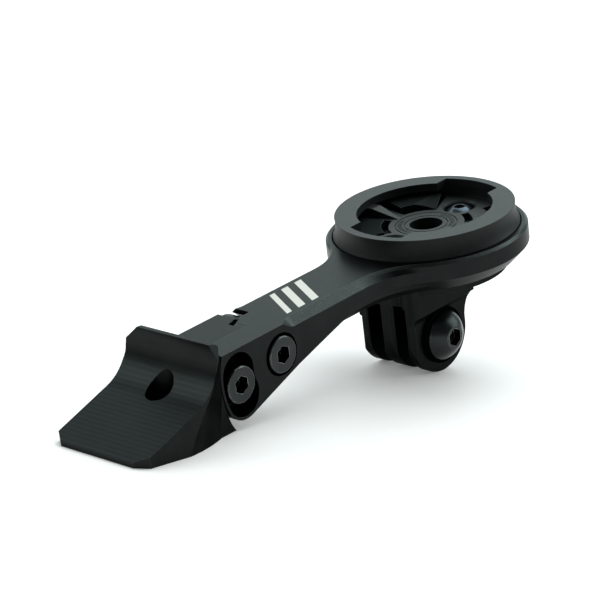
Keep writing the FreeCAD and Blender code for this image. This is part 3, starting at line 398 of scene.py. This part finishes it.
def make_detent_paint():
    """Smooth moulded tabs with lighter edges: partly rubbed, partly painted edge highlight."""
    shade = Shading("detent_grey", (0.012, 0.0135, 0.0132), 0.5, 1.0)
    shade.feed("Specular Tint", grey(0.5))
    cloud = shade.noise(0.6, detail=3.0)
    tint = shade.blotches(cloud, (0.010, 0.0115, 0.0113), (0.014, 0.016, 0.0158))
    # Wear and painted edge highlight: the sharp edges take a lighter colour.
    shade.feed("Base Color", shade.wear_and_glint_edges(tint, (0.2, 0.21, 0.21), 0.5))
    shade.feed("Roughness", shade.ramp(cloud, 0.3, 0.7, 0.52, 0.64))
    shade.bump(0.1, (shade.noise(6.0), 0.006))
    return shade.material


def make_washer_paint():
    """Dull black washer."""
    shade = Shading("washer_black", (0.0015, 0.0018, 0.0018), 0.62, specular=0.0)
    speck = shade.noise(4.0, detail=3.0)
    tint = shade.blotches(speck, (0.001, 0.0012, 0.0012), (0.0022, 0.0026, 0.0026))
    shade.feed("Base Color", tint)
    shade.feed("Roughness", shade.ramp(speck, 0.3, 0.7, 0.55, 0.7))
    shade.bump(0.08, (speck, 0.01))
    return shade.material


# ---------------------------------------------------------------- stage and light

FLOOR_HALF = 3.0
FLOOR_GLOW = 0.14
FLOOR_GLOW_TINT = (0.98, 1.0, 0.995)
ROOM_LIGHT = 0.15
ROOM_TINT = (0.84, 1.0, 0.97)
LAMP_TINT = (0.86, 1.0, 0.985)
# Each light's name, place, width and height, and power. All of them face the origin.
LIGHTS = (
    ("overhead", (0.0, 0.32, 0.68), (0.7, 0.7), 4.9),
    ("behind_right", (0.46, 0.72, 0.5), (0.7, 0.6), 3.6),
    ("behind", (-0.55, 0.6, 0.45), (1.2, 0.9), 6.6),
    ("left", (-0.62, -0.38, 0.46), (0.8, 0.5), 2.8),
)


def make_floor_paint():
    """White sweep, warm enough to look neutral under the cool lights, with a faint glow."""
    shade = Shading("floor_white", (0.90, 0.81, 0.815), 0.55, specular=0.1)
    speck = shade.noise(0.06, detail=2.0)
    tint = shade.blotches(speck, (0.89, 0.80, 0.805), (0.91, 0.82, 0.825), low=0.2, high=0.8)
    shade.feed("Base Color", tint)
    shade.feed("Emission Color", FLOOR_GLOW_TINT)
    shade.feed("Emission Strength", FLOOR_GLOW)
    return shade.material


def make_stage():
    """A plain pale floor."""
    mesh = bpy.data.meshes.new("floor")
    shape = bmesh.new()
    bmesh.ops.create_grid(shape, x_segments=2, y_segments=2, size=FLOOR_HALF)
    shape.to_mesh(mesh)
    shape.free()
    floor = bpy.data.objects.new("floor", mesh)
    bpy.context.scene.collection.objects.link(floor)
    mesh.materials.append(make_floor_paint())


def make_area_light(name, at, size, power):
    """A soft rectangular light that faces the origin."""
    data = bpy.data.lights.new(name, "AREA")
    data.shape = "RECTANGLE"
    data.size, data.size_y = size
    data.energy = power
    data.color = LAMP_TINT
    light = bpy.data.objects.new(name, data)
    light.location = at
    light.rotation_euler = (-Vector(at)).to_track_quat("-Z", "Y").to_euler()
    bpy.context.scene.collection.objects.link(light)


def make_lights():
    """Soft studio light: one box overhead, two behind and one on the left, in a dim room."""
    scene = bpy.context.scene
    scene.view_settings.view_transform = "Standard"
    world = bpy.data.worlds.new("studio")
    scene.world = world
    world.use_nodes = True
    back = world.node_tree.nodes["Background"]
    back.inputs["Color"].default_value = (*ROOM_TINT, 1.0)
    back.inputs["Strength"].default_value = ROOM_LIGHT
    for name, at, size, power in LIGHTS:
        make_area_light(name, at, size, power)


make_stage()
make_lights()

# ---------------------------------------------------------------- the CAD nodes

SMOOTH_BELOW = math.radians(28.0)

screw_black = make_screw_paint("screw_black", (0.033, 0.036, 0.036))
screw_zinc = make_screw_paint("screw_zinc", (0.06, 0.07, 0.088))
detent_grey = make_detent_paint()
PAINTS = {
    "bar_bracket": make_bracket_paint(),
    "arm": make_arm_paint(),
    "pivot_screw": screw_black,
    "lock_screw": screw_black,
    "quarter_turn_insert": make_insert_paint(),
    "detent_tab_far": detent_grey,
    "detent_tab_near": detent_grey,
    "insert_screws": screw_zinc,
    "camera_adapter": make_adapter_paint(),
    "camera_bolt": screw_black,
    "camera_washer": make_washer_paint(),
    "camera_nut": screw_black,
}
for name, paint in PAINTS.items():
    mesh = nodes[name].data
    mesh.materials.clear()
    mesh.materials.append(paint)
    for face in mesh.polygons:
        face.use_smooth = True
    mesh.set_sharp_from_angle(angle=SMOOTH_BELOW)
